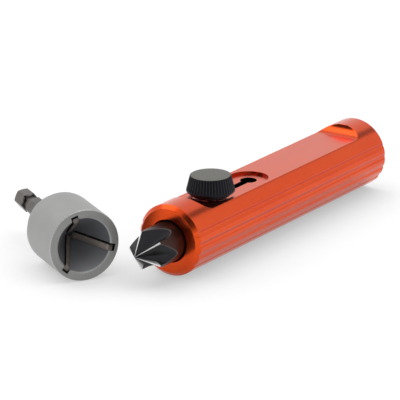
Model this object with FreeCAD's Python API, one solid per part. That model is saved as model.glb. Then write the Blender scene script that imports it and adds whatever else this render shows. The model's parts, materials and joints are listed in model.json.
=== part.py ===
# Deburring tool: a handle with a retractable countersink, and a loose outside-deburring cup.
#
# Frame: the origin is the centre of the handle's rear end face. The handle's axis is X and its
# open front end points along -X. +Z is up, out of the flat that carries the knob. The cup lies
# beside the handle, on the same surface, with its own axis level.
# The knob is drawn loosened and raised, with the carrier at the front end of its travel.

import FreeCAD, Part
import math
import os

# ---------------------------------------------------------------- driving dimensions, mm
inch = 25.4
hex_across_flats = inch / 4          # standard driver shank

handle_length = 120.0
handle_radius = inch / 2
front_chamfer = 1.4
edge_break = 0.25
bore_radius = 7.4

flat_z = 9.35                        # top flat, above the axis
flat_front = 15.2                    # from the front face, where the flat starts
flat_rear = 106.1
flat_runout_radius = 5.2

recess_radius = 7.05
recess_depth = 1.0
keyhole_radius = 2.9
slot_width = 2.7
carrier_travel = 23.4

grip_flute_count = 4                 # on each side
grip_flute_first = 70.5              # degrees from the top
grip_flute_pitch = 18.3              # degrees
grip_flute_width = 2.3
grip_flute_depth = 0.36

plug_radius = 8.6
plug_length = 8.5
plug_o_ring_radius = 0.65
plug_groove_width = 1.7
spanner_hole_radius = 1.0
spanner_hole_offset = 5.5
spanner_hole_depth = 3.0

knob_from_front = 25.65
knob_rest_gap = 1.43                 # knob rim above the flat, loosened
knob_height = 6.05
knob_top_radius = 7.14
knob_skirt_radius = 8.5
knob_rim_radius = 8.15
knob_tooth_count = 46
knob_tooth_depth = 0.34
stud_radius = 1.25
stud_tip_z = 4.65
stud_clearance = 0.05                # in the bush

carrier_radius = 7.32
carrier_front = 7.5                  # from the front face
carrier_rear = 37.0
socket_radius = 5.2
socket_rear = 31.0
socket_clearance = 0.05              # on each flat
magnet_radius = 3.0
magnet_length = 3.0
set_screw_radius = 1.5
set_screw_key = 1.5                  # across flats
set_screw_key_depth = 1.3
retaining_wire = 0.3

bit_projection = 19.8                # tip ahead of the front face
bit_radius = 7.05
bit_head_length = 25.0
bit_flute_count = 5
bit_first_tooth = -18.0              # degrees from the top, towards -Y
bit_land_angle = 5.0                 # each tooth's ground land, degrees
bit_flute_reach = 15.5               # the flute's farthest point behind the tip
bit_flute_profile = [                # between the lands: share of the pitch, times the floor's radius
    (0.30, 1.42),
    (0.58, 1.06),
    (0.76, 1.00),
    (0.88, 1.13),
]

cup_mouth = FreeCAD.Vector(-19.13, 21.27, 0)     # from the centre of the front face
cup_yaw = 58.8                       # degrees, direction from the mouth to the shank
cup_radius = inch / 2
cup_body_length = 23.0               # to the step round the shank
cup_length = 25.5
cup_edge = 0.3                       # chamfer of the mouth's outer edge and of the step
cup_shoulder_length = 2.6            # the body's rounding at its rear
cup_shoulder_drop = 1.4
cup_step_inset = 1.7                 # from the body's radius to the step's
cup_mouth_radius = 9.95
cup_lip = 0.4
cup_cone_half_angle = 32.0
cup_shank_end = 57.6                 # behind the mouth plane
cup_hex_turn = -7.0                  # degrees, the shank's flat from the top
shank_waist_from_end = 9.3           # the power groove
shank_waist_half = 2.5
shank_waist_radius = 2.3
cup_spigot_radius = 3.1
cup_spigot_depth = 6.0
cup_first_blade = -13.0              # degrees from the cup's right-hand side, upwards
blade_width = 2.0
blade_proud = 0.75
blade_sunk = 0.6
slot_gap_below = 0.12                # beside each blade, looking into the mouth
slot_gap_above = 0.5
slot_end_radius = 11.3
slot_mouth_depth = 1.4               # of the pocket at each blade's outer end

# ---------------------------------------------------------------- positions that follow
front_x = -handle_length
knob_x = front_x + knob_from_front
tip_x = front_x - bit_projection
recess_z = flat_z - recess_depth
knob_rim_z = flat_z + knob_rest_gap
knob_top_z = knob_rim_z + knob_height

X = FreeCAD.Vector(1, 0, 0)
Y = FreeCAD.Vector(0, 1, 0)
Z = FreeCAD.Vector(0, 0, 1)
ORIGIN = FreeCAD.Vector(0, 0, 0)


# ---------------------------------------------------------------- helpers
def at(x=0.0, y=0.0, z=0.0):
    return FreeCAD.Vector(x, y, z)


def rod(radius, start, end):
    """A cylinder between two points."""
    line = end.sub(start)
    return Part.makeCylinder(radius, line.Length, start, line)


def turned_x(outline, angle=360.0):
    """Turn an outline of (x, radius) points about the X axis."""
    points = [at(x, 0, radius) for x, radius in outline]
    face = Part.Face(Part.makePolygon(points + points[:1]))
    return face.revolve(ORIGIN, X, angle)


def turned_z(outline, x=0.0):
    """Turn an outline of (radius, z) points about the vertical line through x."""
    points = [at(x + radius, 0, z) for radius, z in outline]
    face = Part.Face(Part.makePolygon(points + points[:1]))
    return face.revolve(at(x), Z, 360)


def ring_x(x, ring_radius, wire_radius, angle=360.0):
    """A round-wire ring about the X axis."""
    circle = Part.Circle(at(x, 0, ring_radius), Y, wire_radius)
    face = Part.Face(Part.Wire(circle.toShape()))
    return face.revolve(ORIGIN, X, angle)


def hex_bar(across_flats, start_x, end_x):
    """A hexagonal bar along X with a flat on top."""
    corner = across_flats / math.sqrt(3)
    angles = [math.radians(60 * k) for k in range(7)]
    points = [at(start_x, corner * math.cos(a), corner * math.sin(a)) for a in angles]
    return Part.Face(Part.makePolygon(points)).extrude(at(end_x - start_x))


def about_x(shape, degrees):
    """A copy turned about the X axis, from +Z towards -Y."""
    turned = shape.copy()
    turned.rotate(ORIGIN, X, degrees)
    return turned


def cut_all(body, tools):
    return body.cut(Part.makeCompound(tools))


# ---------------------------------------------------------------- handle
def top_pocket():
    """The flat on top of the handle, with a concave run-out at each end."""
    x0 = front_x + flat_front
    x1 = front_x + flat_rear
    r = flat_runout_radius
    half = math.sqrt(0.5) * r
    centre_z = flat_z + r
    top = centre_z + r
    edges = [
        Part.makeLine(at(x0, 0, flat_z), at(x1, 0, flat_z)),
        Part.Arc(at(x1, 0, flat_z), at(x1 + half, 0, centre_z - half), at(x1 + r, 0, centre_z)).toShape(),
        Part.makeLine(at(x1 + r, 0, centre_z), at(x1 + r, 0, top)),
        Part.makeLine(at(x1 + r, 0, top), at(x0 - r, 0, top)),
        Part.makeLine(at(x0 - r, 0, top), at(x0 - r, 0, centre_z)),
        Part.Arc(at(x0 - r, 0, centre_z), at(x0 - half, 0, centre_z - half), at(x0, 0, flat_z)).toShape(),
    ]
    face = Part.Face(Part.Wire(edges))
    face.translate(at(0, -handle_radius - 1, 0))
    return face.extrude(at(0, 2 * handle_radius + 2, 0))


def grip_flute_tools():
    """Round-bottomed flutes that run the full length of both sides."""
    half = grip_flute_width / 2
    below_chord = grip_flute_depth - (handle_radius - math.sqrt(handle_radius**2 - half**2))
    radius = (half**2 + below_chord**2) / (2 * below_chord)
    centre = handle_radius - grip_flute_depth + radius
    tool = rod(radius, at(front_x - 1, 0, centre), at(1, 0, centre))
    angles = [grip_flute_first + grip_flute_pitch * k for k in range(grip_flute_count)]
    return [about_x(tool, side * angle) for side in (1, -1) for angle in angles]


def keyhole_tools():
    """A long recess, a round opening at each end of the travel, and the slot between them."""
    tools = []
    for x in (knob_x, knob_x + carrier_travel):
        tools.append(rod(recess_radius, at(x, 0, recess_z), at(x, 0, handle_radius)))
        tools.append(rod(keyhole_radius, at(x), at(x, 0, handle_radius)))
    tools.append(Part.makeBox(carrier_travel, 2 * recess_radius, handle_radius - recess_z,
                              at(knob_x, -recess_radius, recess_z)))
    tools.append(Part.makeBox(carrier_travel, slot_width, handle_radius, at(knob_x, -slot_width / 2, 0)))
    return tools


def handle_body():
    body = turned_x([
        (front_x, bore_radius + edge_break),
        (front_x, handle_radius - front_chamfer),
        (front_x + front_chamfer, handle_radius),
        (-edge_break, handle_radius),
        (0, handle_radius - edge_break),
        (0, plug_radius),
        (-plug_length, plug_radius),
        (-plug_length, bore_radius),
        (front_x + edge_break, bore_radius),
    ])
    return cut_all(body, [top_pocket()] + grip_flute_tools() + keyhole_tools())


def end_plug():
    groove_front = -(plug_length + plug_groove_width) / 2
    groove_rear = groove_front + plug_groove_width
    groove_radius = plug_radius - 2 * plug_o_ring_radius - 0.05
    plug = turned_x([
        (-plug_length, 0),
        (-plug_length, plug_radius - edge_break),
        (edge_break - plug_length, plug_radius),
        (groove_front, plug_radius),
        (groove_front, groove_radius),
        (groove_rear, groove_radius),
        (groove_rear, plug_radius),
        (-edge_break, plug_radius),
        (0, plug_radius - edge_break),
        (0, 0),
    ])
    holes = []
    for y in (spanner_hole_offset, -spanner_hole_offset):
        holes.append(rod(spanner_hole_radius, at(-spanner_hole_depth, y), at(1, y)))
    return cut_all(plug, holes)


def plug_o_ring():
    return ring_x(-plug_length / 2, plug_radius - plug_o_ring_radius, plug_o_ring_radius)


# ---------------------------------------------------------------- carrier and what it holds
bush_radius = 2.5
set_screw_x = front_x + 14.0
set_screw_tip_z = -4.5
set_screw_head_z = -7.05
retaining_groove_x = front_x + 9.9
retaining_groove_radius = 4.45
retaining_groove_half = 0.55
socket_mouth_radius = 4.0            # the lead-in's radius at the front of the socket
socket_mouth_depth = 0.9


def slide_carrier():
    start = front_x + carrier_front
    end = front_x + carrier_rear
    socket_end = front_x + socket_rear
    bevel = 0.6
    body = turned_x([
        (start, socket_radius),
        (start, carrier_radius - bevel),
        (start + bevel, carrier_radius),
        (end - bevel, carrier_radius),
        (end, carrier_radius - bevel),
        (end, 0),
        (socket_end + magnet_length, 0),
        (socket_end + magnet_length, magnet_radius),
        (socket_end, magnet_radius),
        (socket_end, socket_radius),
    ])
    bush_hole = rod(bush_radius, at(knob_x), at(knob_x, 0, carrier_radius))
    screw_hole = rod(set_screw_radius, at(set_screw_x), at(set_screw_x, 0, -carrier_radius))
    return cut_all(body, [bush_hole, screw_hole])


def bit_socket():
    """The hardened hex sleeve that holds a bit's shank."""
    start = front_x + carrier_front
    end = front_x + socket_rear
    across = hex_across_flats + 2 * socket_clearance
    sleeve = rod(socket_radius, at(start), at(end))
    lead_in = turned_x([
        (start - 1, 0),
        (start - 1, socket_mouth_radius + 0.9),
        (start + socket_mouth_depth, socket_mouth_radius - 1.0),
        (start + socket_mouth_depth, 0),
    ])
    groove = rod(retaining_groove_radius, at(retaining_groove_x - retaining_groove_half),
                 at(retaining_groove_x + retaining_groove_half))
    stud_hole = rod(stud_radius + 0.2, at(knob_x), at(knob_x, 0, socket_radius))
    dimple = rod(set_screw_radius, at(set_screw_x, 0, set_screw_tip_z), at(set_screw_x, 0, -socket_radius))
    return cut_all(sleeve, [hex_bar(across, start - 1, end + 1), lead_in, groove, stud_hole, dimple])


def socket_set_screw():
    screw = rod(set_screw_radius, at(set_screw_x, 0, set_screw_tip_z), at(set_screw_x, 0, set_screw_head_z))
    recess = hex_bar(set_screw_key, 0, set_screw_key_depth)
    recess.rotate(ORIGIN, Y, -90)
    recess.translate(at(set_screw_x, 0, set_screw_head_z))
    return screw.cut(recess)


def thread_bush():
    bush = rod(bush_radius, at(knob_x, 0, socket_radius), at(knob_x, 0, carrier_radius))
    bush = bush.cut(rod(stud_radius + stud_clearance, at(knob_x), at(knob_x, 0, carrier_radius)))
    dressed_flush = rod(carrier_radius - 0.02, at(front_x), at(0))
    return bush.common(dressed_flush)


def socket_magnet():
    start = front_x + socket_rear
    return rod(magnet_radius, at(start), at(start + magnet_length))


def bit_retaining_ring():
    """A round-wire snap ring with a gap, centred on the underside."""
    closed_angle = 310
    ring_radius = retaining_groove_radius - retaining_wire - 0.05
    ring = ring_x(retaining_groove_x, ring_radius, retaining_wire, closed_angle)
    return about_x(ring, (360 - closed_angle) / 2)


# ---------------------------------------------------------------- knob and what lifts with it
collar_foot_z = flat_z + 0.31
collar_spigot_z = flat_z + 0.08
collar_top_z = knob_rim_z - 0.2
collar_fit = 0.1                     # in the recess and in the round openings
collar_bore = stud_radius + 0.09
collar_recess_radius = 2.45          # room for the clip
clip_radius = 2.2
clip_mouth = 1.4
clip_play = 0.02
clip_z = collar_spigot_z + 0.1
clip_thickness = 0.4
clip_recess_z = clip_z + clip_thickness + 0.1
clip_groove = stud_radius - 0.25
knob_recess_radius = 6.0
knob_recess_z = knob_rim_z + 0.5
insert_radius = 3.0


def locating_collar():
    """A stepped washer: its foot drops into the recess and its spigot into a round opening."""
    foot = recess_radius - collar_fit
    spigot = keyhole_radius - collar_fit
    return turned_z([
        (collar_bore, clip_recess_z),
        (collar_recess_radius, clip_recess_z),
        (collar_recess_radius, collar_spigot_z),
        (spigot, collar_spigot_z),
        (spigot, collar_foot_z),
        (foot - 0.2, collar_foot_z),
        (foot, collar_foot_z + 0.2),
        (foot, collar_top_z),
        (collar_bore, collar_top_z),
    ], knob_x)


def spring_washer():
    """A shallow cone washer between the collar and the knob."""
    inner = 1.6
    outer = 4.5
    thick = 0.3
    rise = 0.36
    base = collar_top_z
    return turned_z([
        (outer, base),
        (outer, base + thick),
        (inner, base + thick + rise),
        (inner, base + rise),
    ], knob_x)


def knob_star(z, radius):
    """A closed wire with one point and one notch for each tooth."""
    points = []
    for k in range(2 * knob_tooth_count):
        angle = math.pi * k / knob_tooth_count
        r = radius - (k % 2) * knob_tooth_depth
        points.append(at(knob_x + r * math.cos(angle), r * math.sin(angle), z))
    return Part.makePolygon(points + points[:1])


def knob():
    knurl_z = knob_rim_z + 0.8
    rim_round = 0.35
    top_round = 0.35
    top_land = 0.45
    taper = (knob_skirt_radius - knob_top_radius) / (knob_top_z - knurl_z)
    knurl = Part.makeLoft([knob_star(knurl_z, knob_skirt_radius), knob_star(knob_top_z, knob_top_radius)],
                          True, True)
    base = turned_z([
        (0, knob_rim_z),
        (knob_rim_radius, knob_rim_z),
        (knob_skirt_radius, knob_rim_z + rim_round),
        (knob_skirt_radius, knurl_z),
        (0, knurl_z),
    ], knob_x)
    trim = turned_z([
        (0, knob_rim_z - 1),
        (knob_skirt_radius + 1, knob_rim_z - 1),
        (knob_skirt_radius + 1, knurl_z),
        (knob_top_radius + taper * top_round + 0.02, knob_top_z - top_round),
        (knob_top_radius - top_land, knob_top_z),
        (0, knob_top_z),
    ], knob_x)
    body = base.fuse(knurl).common(trim)
    recess = rod(knob_recess_radius, at(knob_x, 0, knob_rim_z - 1), at(knob_x, 0, knob_recess_z))
    return cut_all(body, [recess, knob_insert_shape()])


def knob_insert_shape():
    """The head of the stud, moulded into the knob."""
    foot = knob_recess_z - 0.01
    lower_flange = knob_recess_z + 1.5
    upper_flange = knob_recess_z + 2.5
    top = knob_recess_z + 4.0
    bevel = 0.2
    waist = insert_radius - 0.4
    return turned_z([
        (0, foot),
        (insert_radius, foot),
        (insert_radius, lower_flange),
        (waist, lower_flange + bevel),
        (waist, upper_flange - bevel),
        (insert_radius, upper_flange),
        (insert_radius, top),
        (0, top),
    ], knob_x)


def knob_stud():
    point = 0.35
    groove_low = clip_z - clip_play
    groove_high = clip_z + clip_thickness + clip_play
    shaft = turned_z([
        (0, stud_tip_z),
        (stud_radius - point, stud_tip_z),
        (stud_radius, stud_tip_z + point),
        (stud_radius, groove_low),
        (clip_groove, groove_low),
        (clip_groove, groove_high),
        (stud_radius, groove_high),
        (stud_radius, knob_recess_z),
        (0, knob_recess_z),
    ], knob_x)
    return shaft.fuse(knob_insert_shape()).removeSplitter()


def collar_clip():
    """An open clip snapped into the stud's groove, under the collar."""
    clip = rod(clip_radius, at(knob_x, 0, clip_z), at(knob_x, 0, clip_z + clip_thickness))
    hole = rod(clip_groove + clip_play, at(knob_x, 0, clip_z - 1), at(knob_x, 0, clip_z + 1))
    mouth = Part.makeBox(clip_radius + 1, clip_mouth, 2, at(knob_x, -clip_mouth / 2, clip_z - 1))
    return cut_all(clip, [hole, mouth])


# ---------------------------------------------------------------- countersink
def bit_flute_tool():
    """A flute that fans out from the tip: steep at the next tooth's face, gentle behind the last."""
    depth = 22.0
    floor = bit_radius * depth / bit_flute_reach
    edge = depth                     # the cone is 90 degrees, so its radius is its depth
    step = 360.0 / bit_flute_count
    start = bit_land_angle / 2
    end = step - bit_land_angle / 2

    def polar(degrees, radius):
        a = math.radians(degrees)
        return at(tip_x + depth, -radius * math.sin(a), radius * math.cos(a))

    middle = [polar(share * step, factor * floor) for share, factor in bit_flute_profile]
    profile = [polar(start, edge)] + middle + [polar(end, edge)]
    curve = Part.BSplineCurve()
    curve.interpolate(profile)
    outside = Part.makePolygon([profile[-1], polar(end, 3 * edge), polar(start, 3 * edge), profile[0]])
    wire = Part.Wire([curve.toShape()] + outside.Edges)
    return Part.makeLoft([Part.Vertex(at(tip_x)), wire], True, True)


def countersink_bit():
    head_end = tip_x + bit_head_length
    head_bevel = 1.0
    shank_start = head_end - 0.5
    shank_end = front_x + socket_rear - 0.2
    shank_point = 0.7
    corner = hex_across_flats / math.sqrt(3)
    head = turned_x([
        (tip_x, 0),
        (tip_x + bit_radius, bit_radius),
        (head_end - head_bevel, bit_radius),
        (head_end, bit_radius - head_bevel),
        (head_end, 0),
    ])
    flutes = [about_x(bit_flute_tool(), bit_first_tooth + 360.0 * k / bit_flute_count)
              for k in range(bit_flute_count)]
    head = cut_all(head, flutes)
    shank = hex_bar(hex_across_flats, shank_start, shank_end)
    ends = turned_x([
        (shank_start, 0),
        (shank_start, corner + 0.5),
        (shank_end - shank_point, corner + 0.05),
        (shank_end, corner + 0.05 - 0.8),
        (shank_end, 0),
    ])
    return head.fuse(shank.common(ends)).removeSplitter()


# ---------------------------------------------------------------- cup, drawn with its mouth at x = 0
cone_slope = math.tan(math.radians(cup_cone_half_angle))
cone_start_radius = cup_mouth_radius - cup_lip
cone_start_x = 0.5
cone_apex_x = cone_start_x + cone_start_radius / cone_slope


def placed_cup(shape):
    """Move a piece of the cup from its own frame to where it lies beside the handle."""
    shape.rotate(ORIGIN, Z, cup_yaw)
    shape.translate(cup_mouth.add(at(front_x)))
    return shape


def blade_section(offset_out, offset_in, start_x, end_x):
    """A strip along the cone's wall, between two lines parallel to it, cut square at its ends."""
    rise = 1 / math.cos(math.radians(cup_cone_half_angle))
    out_apex = cone_apex_x + offset_out * rise / cone_slope
    in_apex = cone_apex_x - offset_in * rise / cone_slope

    def radius_at(x, apex):
        return (apex - x) * cone_slope

    return [
        at(start_x, 0, radius_at(start_x, out_apex)),
        at(end_x, 0, radius_at(end_x, out_apex)),
        at(end_x, 0, max(radius_at(end_x, in_apex), 0)),
        at(start_x, 0, radius_at(start_x, in_apex)),
    ]


def blade_bar(start_y, width, offset_out, offset_in, start_x, end_x):
    points = blade_section(offset_out, offset_in, start_x, end_x)
    face = Part.Face(Part.makePolygon(points + points[:1]))
    face.translate(at(0, start_y, 0))
    return face.extrude(at(0, width, 0))


def blade_turn(k):
    """The turn from the cup's top to blade k."""
    return 90.0 - (cup_first_blade + 120.0 * k)


def cup_body():
    step_radius = cup_radius - cup_step_inset
    outline = [(0, 0), (0, cup_radius - cup_edge), (cup_edge, cup_radius)]
    for k in range(7):
        a = math.radians(15 * k)
        x = cup_body_length - cup_shoulder_length * (1 - math.sin(a))
        outline.append((x, cup_radius - cup_shoulder_drop * (1 - math.cos(a))))
    outline += [
        (cup_body_length, step_radius),
        (cup_length - cup_edge, step_radius),
        (cup_length, step_radius - cup_edge),
        (cup_length, 0),
    ]
    body = turned_x(outline)
    hollow = turned_x([
        (-1, 0),
        (-1, cup_mouth_radius),
        (0, cup_mouth_radius),
        (cone_start_x, cone_start_radius),
        (cone_apex_x, 0),
    ])
    spigot_hole = rod(cup_spigot_radius, at(cup_length - cup_spigot_depth), at(cup_length + 1))
    slot_start = -blade_width / 2 - slot_gap_below
    slot_width_total = slot_gap_below + blade_width + slot_gap_above
    slot = blade_bar(slot_start, slot_width_total, blade_sunk, 3.0, -1, cone_apex_x - 1.0)
    relief_corner = at(-1, slot_start, slot_end_radius - 3.0)
    relief = Part.makeBox(slot_mouth_depth + 1, slot_width_total, 3.0, relief_corner)
    tools = [hollow, spigot_hole]
    for k in range(3):
        tools += [about_x(slot, blade_turn(k)), about_x(relief, blade_turn(k))]
    return placed_cup(cut_all(body, tools))


def cup_blade(k):
    bar = blade_bar(-blade_width / 2, blade_width, blade_sunk, blade_proud, 0.12, cone_apex_x - 2.6)
    return placed_cup(about_x(bar, blade_turn(k)))


def cup_shank():
    corner = hex_across_flats / math.sqrt(3)
    start = cup_length
    waist_x = cup_shank_end - shank_waist_from_end
    outside = corner + 0.05
    end_bevel = 0.9
    bar = about_x(hex_bar(hex_across_flats, start, cup_shank_end), cup_hex_turn)
    ends = turned_x([
        (start, 0),
        (start, corner - 0.3),
        (start + 0.6, outside),
        (cup_shank_end - end_bevel, outside),
        (cup_shank_end, corner - 1.0),
        (cup_shank_end, 0),
    ])
    depth = corner - shank_waist_radius
    arc_radius = (shank_waist_half**2 + depth**2) / (2 * depth)
    circle = Part.Circle(at(waist_x, 0, shank_waist_radius + arc_radius), Y, arc_radius)
    waist = Part.Face(Part.Wire(circle.toShape())).revolve(ORIGIN, X, 360)
    spigot = rod(cup_spigot_radius, at(start - cup_spigot_depth), at(start + 1))
    return placed_cup(bar.common(ends).cut(waist).fuse(spigot).removeSplitter())


# ---------------------------------------------------------------- write every piece
pieces = {
    "handle_body": handle_body(),
    "end_plug": end_plug(),
    "plug_o_ring": plug_o_ring(),
    "slide_carrier": slide_carrier(),
    "bit_socket": bit_socket(),
    "socket_set_screw": socket_set_screw(),
    "thread_bush": thread_bush(),
    "socket_magnet": socket_magnet(),
    "bit_retaining_ring": bit_retaining_ring(),
    "locating_collar": locating_collar(),
    "spring_washer": spring_washer(),
    "knob": knob(),
    "knob_stud": knob_stud(),
    "collar_clip": collar_clip(),
    "countersink_bit": countersink_bit(),
    "cup_body": cup_body(),
    "cup_shank": cup_shank(),
}
for k in range(3):
    pieces["cup_blade_%d" % (k + 1)] = cup_blade(k)

os.makedirs("parts", exist_ok=True)
for name, shape in pieces.items():
    solids = shape.Solids
    print(name, "valid", shape.isValid(), "solids", len(solids), "volume %.1f" % shape.Volume)
    (solids[0] if len(solids) == 1 else shape).exportStep("parts/%s.step" % name)
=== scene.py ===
"""The looks of the deburring tool: an anodised handle with a countersink, and a loose deburring cup."""

import json
import math

import bmesh
import bpy
import numpy as np
from mathutils import Matrix, Vector


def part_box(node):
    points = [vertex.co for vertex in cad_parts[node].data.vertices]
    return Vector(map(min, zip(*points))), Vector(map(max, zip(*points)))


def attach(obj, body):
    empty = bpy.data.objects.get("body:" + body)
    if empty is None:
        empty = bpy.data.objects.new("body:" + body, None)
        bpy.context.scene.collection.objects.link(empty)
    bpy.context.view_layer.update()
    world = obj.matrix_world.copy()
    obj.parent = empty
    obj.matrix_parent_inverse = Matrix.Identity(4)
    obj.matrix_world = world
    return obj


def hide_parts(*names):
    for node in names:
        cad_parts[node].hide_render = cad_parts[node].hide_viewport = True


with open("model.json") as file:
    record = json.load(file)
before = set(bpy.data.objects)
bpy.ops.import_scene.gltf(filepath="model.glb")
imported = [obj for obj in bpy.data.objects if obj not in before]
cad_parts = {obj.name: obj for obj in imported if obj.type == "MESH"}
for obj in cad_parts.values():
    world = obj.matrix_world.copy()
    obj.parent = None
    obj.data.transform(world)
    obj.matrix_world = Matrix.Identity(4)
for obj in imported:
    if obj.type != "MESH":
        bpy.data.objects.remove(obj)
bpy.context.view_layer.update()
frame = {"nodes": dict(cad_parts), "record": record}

MM = 0.001
TAU = 2 * math.pi

# ---------------------------------------------------------------- positions, from the frame
RECORD = frame["record"]
MOUNTS = {m["name"]: m for m in RECORD["mounts"]}
HANDLE_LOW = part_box("handle_body")[0]
FRONT = HANDLE_LOW.x / MM
KNOB_LOW, KNOB_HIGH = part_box("knob")
KNOB_X = (KNOB_LOW.x + KNOB_HIGH.x) / 2 / MM
KNOB_RIM_Z = KNOB_LOW.z / MM
KNOB_TOP_Z = KNOB_HIGH.z / MM
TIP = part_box("countersink_bit")[0].x / MM
FLOOR_Z = HANDLE_LOW.z

# ---------------------------------------------------------------- sizes, mm
HANDLE_R = 12.7
HANDLE_LENGTH = 120.0
CHAMFER = 1.4
BORE_R = 7.4
PLUG_R = 8.6
PLUG_LENGTH = 8.5
EDGE_BREAK = 0.25
FLAT_Z = 9.35
FLAT_FRONT = 15.2
FLAT_REAR = 106.1
RUNOUT_R = 5.2
RECESS_R = 7.05
RECESS_DEPTH = 1.0
KEYHOLE_R = 2.9
SLOT_WIDTH = 2.7
TRAVEL = 23.4
FLUTE_ANGLES = [70.5 + 18.3 * k for k in range(4)]
FLUTE_WIDTH = 2.3
FLUTE_DEPTH = 0.36

KNOB_TOP_R = 7.14
KNOB_SKIRT_R = 8.5
KNOB_RIM_R = 8.15
TEETH = 46
TOOTH_DEPTH = 0.34

BIT_R = 7.05
BIT_HEAD = 25.0
BIT_FLUTES = 5
BIT_FIRST = -18.0
BIT_LAND = 5.0
BIT_REACH = 15.5
BIT_CONE_END = 7.1
HEX = 6.35
SHANK_END = FRONT + 30.8

CUP_R = 12.7
CUP_BODY = 23.0
CUP_LENGTH = 25.5
CUP_MOUTH_R = 9.95
CUP_LIP = 0.4
CUP_HALF_ANGLE = 32.0
CUP_SHANK_END = 57.6
CUP_HEX_TURN = -7.0
CUP_SOCKET_R = 3.1
CUP_SOCKET_DEPTH = 6.0
CUP_STEP = 1.7
BLADE_FIRST = -13.0
BLADE_WIDTH = 2.0
BLADE_PROUD = 0.75
BLADE_SUNK = 0.6
GAP_BELOW = 0.12
GAP_ABOVE = 0.5
SLOT_END_R = 11.3


# ---------------------------------------------------------------- small maths
def soft_min(a, b, blend):
    """The lesser of two distances, rounded where they cross."""
    h = np.clip(0.5 + 0.5 * (b - a) / blend, 0, 1)
    return b + (a - b) * h - blend * h * (1 - h)


def step(a, b, x):
    """From 0 at a to 1 at b, with eased ends."""
    t = np.clip((x - a) / (b - a), 0, 1)
    return t * t * (3 - 2 * t)


def rounded(points, radius, steps=4):
    """A polyline with each inner corner rounded; radius is a number or one per point."""
    result = [points[0]]
    for i in range(1, len(points) - 1):
        r = radius if np.isscalar(radius) else radius[i]
        p, q, s = (Vector(points[j]) for j in (i - 1, i, i + 1))
        if r <= 0:
            result.append(tuple(q))
            continue
        a, b = (p - q).normalized(), (s - q).normalized()
        turn = math.pi - a.angle(b)
        cut = min(r * math.tan(turn / 2), 0.48 * (p - q).length, 0.48 * (s - q).length)
        for k in range(steps + 1):
            t = k / steps
            one, two = q + a * cut * (1 - t), q + b * cut * t
            result.append(tuple(one.lerp(two, t)))
    return result + [points[-1]]


# ---------------------------------------------------------------- meshes
def finish_piece(name, mesh, body, material, nodes, matrix=None, sharp=32):
    """Shade, place and register a piece."""
    mesh.validate()
    mesh.polygons.foreach_set("use_smooth", np.ones(len(mesh.polygons), bool))
    mesh.set_sharp_from_angle(angle=math.radians(sharp))
    obj = bpy.data.objects.new(name, mesh)
    bpy.context.scene.collection.objects.link(obj)
    if matrix is not None:
        obj.matrix_world = matrix
    mesh.materials.clear()
    mesh.materials.append(material)
    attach(obj, body)
    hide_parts(*nodes)
    return obj


def ring_mesh(name, stations, angles, closed=False, axis="X", centre=0.0):
    """A mesh of rings round an axis. Each station is (position along it, radius or one radius per angle)."""
    count = len(angles)
    radii = np.array([np.broadcast_to(np.asarray(r, float), (count,)) for _, r in stations])
    along = np.array([p for p, _ in stations], float)[:, None] + 0 * radii
    c, s = np.cos(angles), np.sin(angles)
    if axis == "X":
        points = np.stack([along, -radii * s, radii * c], -1)
    else:
        points = np.stack([centre + radii * c, radii * s, along], -1)
    points = points.reshape(-1, 3) * MM
    rows = len(stations)
    faces = []
    for i in range(rows if closed else rows - 1):
        a, b = i * count, ((i + 1) % rows) * count
        for j in range(count):
            k = (j + 1) % count
            faces.append((a + j, b + j, b + k, a + k))
    vertices = points.tolist()
    if not closed:
        for row, order in ((0, 1), (rows - 1, -1)):
            hub = len(vertices)
            vertices.append(np.mean(points[row * count:(row + 1) * count], 0).tolist())
            for j in range(count):
                pair = (row * count + j, row * count + (j + 1) % count)[::order]
                faces.append((hub,) + pair)
    mesh = bpy.data.meshes.new(name)
    mesh.from_pydata(vertices, [], faces)
    mesh.update()
    bm = bmesh.new()
    bm.from_mesh(mesh)
    bmesh.ops.recalc_face_normals(bm, faces=bm.faces)
    bm.to_mesh(mesh)
    bm.free()
    return mesh


def prism(outline_rings, name="cutter"):
    """A closed solid through rings of points, each the same length."""
    rings = [np.asarray(r, float) for r in outline_rings]
    count = len(rings[0])
    vertices = np.concatenate(rings) * MM
    faces = [tuple(range(count))[::-1]]
    for i in range(len(rings) - 1):
        for j in range(count):
            k = (j + 1) % count
            faces.append((i * count + j, i * count + k, (i + 1) * count + k, (i + 1) * count + j))
    last = (len(rings) - 1) * count
    faces.append(tuple(range(last, last + count)))
    mesh = bpy.data.meshes.new(name)
    mesh.from_pydata(vertices.tolist(), [], faces)
    bm = bmesh.new()
    bm.from_mesh(mesh)
    bmesh.ops.recalc_face_normals(bm, faces=bm.faces)
    bm.to_mesh(mesh)
    bm.free()
    return mesh


def carve(mesh, cutters):
    """The mesh with each cutter taken away."""
    host = bpy.data.objects.new("host", mesh)
    bpy.context.scene.collection.objects.link(host)
    for cutter in cutters:
        tool = bpy.data.objects.new("tool", cutter)
        bpy.context.scene.collection.objects.link(tool)
        modifier = host.modifiers.new("cut", "BOOLEAN")
        modifier.operation, modifier.solver, modifier.object = "DIFFERENCE", "EXACT", tool
        bpy.context.view_layer.update()
        evaluated = host.evaluated_get(bpy.context.evaluated_depsgraph_get())
        result = bpy.data.meshes.new_from_object(evaluated)
        host.modifiers.clear()
        host.data = result
        bpy.data.objects.remove(tool)
    bpy.data.objects.remove(host)
    return result


def face_values(mesh, name, test):
    """Store one number per face, from the faces' middles (in mm) and normals."""
    middles = np.array([f.center for f in mesh.polygons]) / MM
    normals = np.array([f.normal for f in mesh.polygons])
    values = np.asarray(test(middles, normals), np.float32)
    mesh.attributes.new(name, "FLOAT", "FACE").data.foreach_set("value", values)


def point_values(mesh, name, values):
    """Store one number per point."""
    mesh.attributes.new(name, "FLOAT", "POINT").data.foreach_set("value", values.astype(np.float32))


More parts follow.
